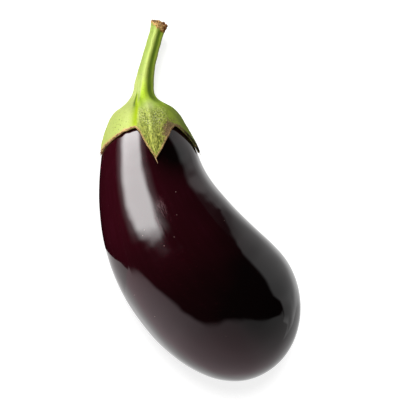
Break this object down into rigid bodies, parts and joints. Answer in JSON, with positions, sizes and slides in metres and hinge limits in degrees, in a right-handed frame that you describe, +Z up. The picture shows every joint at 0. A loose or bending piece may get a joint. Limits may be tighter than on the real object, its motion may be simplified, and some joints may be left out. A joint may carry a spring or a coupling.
{
  "type": "eggplant",
  "caption": "A whole eggplant lying on its side, with a glossy dark skin, a green lobed calyx and a cut stem.",
  "frame": {"origin": "centre of the small flat spot on the underside, level with the surface that the eggplant rests on", "axes": "+Z up from the surface; +Y along the surface towards the cut stem; +X towards the side that the blossom end bends to"},
  "size_m": [0.1197, 0.2135, 0.0879],
  "materials": {
    "skin": "gloss",
    "calyx": "matte",
    "stem": "matte"
  },
  "bodies": {
    "root": {"fruit": "skin", "calyx": "calyx", "stem": "stem"}
  },
  "joints": []
}
